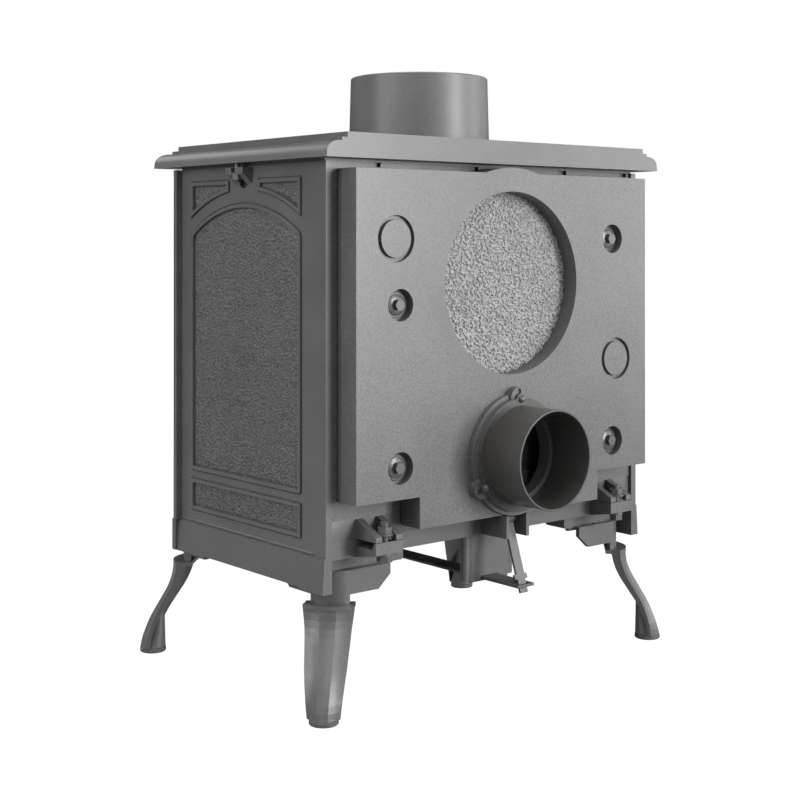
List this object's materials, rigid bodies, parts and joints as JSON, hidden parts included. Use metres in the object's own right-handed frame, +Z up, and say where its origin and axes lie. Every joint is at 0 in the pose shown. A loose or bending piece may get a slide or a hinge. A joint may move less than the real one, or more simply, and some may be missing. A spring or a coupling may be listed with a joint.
{
  "type": "cast iron box stove on legs",
  "caption": "Box-shaped wood stove on splayed legs, with a top flue collar, blanked rear flue, rear outside-air inlet, arched side panels, glazed door and ash pan.",
  "frame": {"origin": "on the floor, under the middle of the overall width and depth", "axes": "+X right seen from the front, -Y the front, +Y the rear, +Z up"},
  "size_m": [0.483, 0.422, 0.6245],
  "materials": {
    "hob_cast": "stove paint, matt, on a smooth sand casting",
    "shell_cast": "stove paint, matt, on a sand casting",
    "rear_cast": "grey stove paint, matt, on a sand casting",
    "disc_cast": "bare coarse casting",
    "painted_sheet": "stove paint on sheet steel",
    "dark_steel": "blackened flat steel",
    "zinc_steel": "plated steel, dulled",
    "knob_steel": "satin steel",
    "brick": "pressed vermiculite board, matt",
    "rope": "knitted glass rope",
    "glass": "clear ceramic glass"
  },
  "bodies": {
    "stove": {"top_plate": "hob_cast", "flue_collar": "hob_cast", "flue_collar_bolts": "zinc_steel", "side_plate_right": "shell_cast", "side_plate_left": "shell_cast", "back_plate": "rear_cast", "rear_air_box": "rear_cast", "flue_blanking_plate": "disc_cast", "blanking_plate_bolts": "zinc_steel", "air_box_bolts": "zinc_steel", "front_frame": "shell_cast", "ash_chamber_frame": "rear_cast", "base_plate": "rear_cast", "ash_lip": "shell_cast", "clamp_bolts": "zinc_steel", "clamp_nuts": "zinc_steel", "clamp_washers": "zinc_steel", "hob_clamp_bolts": "zinc_steel", "leg_front_left": "shell_cast", "leg_front_right": "shell_cast", "leg_rear_left": "shell_cast", "leg_rear_right": "shell_cast", "foot_pads": "dark_steel", "leg_bolts": "zinc_steel", "inlet_flange": "rear_cast", "inlet_tube": "painted_sheet", "inlet_screws": "zinc_steel", "bar_guide_rear": "shell_cast", "bar_guide_front": "shell_cast", "firebrick_left": "brick", "firebrick_right": "brick", "firebrick_back": "brick", "baffle": "brick", "grate_frame": "shell_cast", "log_guard": "shell_cast", "latch_catch": "zinc_steel", "hinge_pins": "zinc_steel", "lever_pin": "zinc_steel"},
    "door": {"door_frame": "shell_cast", "door_glass": "glass", "glass_gasket": "rope", "glass_clips": "zinc_steel", "glass_screws": "zinc_steel", "door_rope_seal": "rope"},
    "latch": {"handle_shaft": "zinc_steel", "latch_cam": "zinc_steel", "handle_grip": "knob_steel"},
    "ash_drawer": {"ash_pan": "painted_sheet", "ash_pan_front": "shell_cast", "ash_pan_knob": "knob_steel"},
    "air_control": {"air_bar": "dark_steel", "air_knob": "knob_steel"},
    "air_flap": {"air_lever": "zinc_steel", "inlet_flap": "zinc_steel"},
    "riddler": {"riddling_grate": "shell_cast", "riddling_rod": "zinc_steel", "riddling_knob": "knob_steel"},
    "airwash": {"airwash_slider": "shell_cast", "airwash_knob": "knob_steel"}
  },
  "joints": [
    {"name": "door_hinge", "type": "hinge", "parent": "stove", "child": "door", "pos_m": [-0.183, -0.151, 0.35], "axis": [0, 0, -1], "range_deg": [0, 110]},
    {"name": "latch_turn", "type": "hinge", "parent": "door", "child": "latch", "pos_m": [0.139, -0.148, 0.35], "axis": [0, -1, 0], "range_deg": [0, 90]},
    {"name": "ash_pan_pull", "type": "slide", "parent": "stove", "child": "ash_drawer", "axis": [0, -1, 0], "range_m": [0, 0.2]},
    {"name": "air_bar_pull", "type": "slide", "parent": "stove", "child": "air_control", "axis": [0, -1, 0], "range_m": [0, 0.022]},
    {"name": "flap_turn", "type": "hinge", "parent": "stove", "child": "air_flap", "pos_m": [0, 0.142, 0.163], "axis": [-1, 0, 0], "range_deg": [0, 20]},
    {"name": "riddle_pull", "type": "slide", "parent": "stove", "child": "riddler", "axis": [0, -1, 0], "range_m": [0, 0.015]},
    {"name": "airwash_slide", "type": "slide", "parent": "stove", "child": "airwash", "axis": [1, 0, 0], "range_m": [0, 0.02]}
  ],
  "couplings": [
    {"joint": "flap_turn", "follows": "air_bar_pull", "rad_per_m": 15.2}
  ]
}
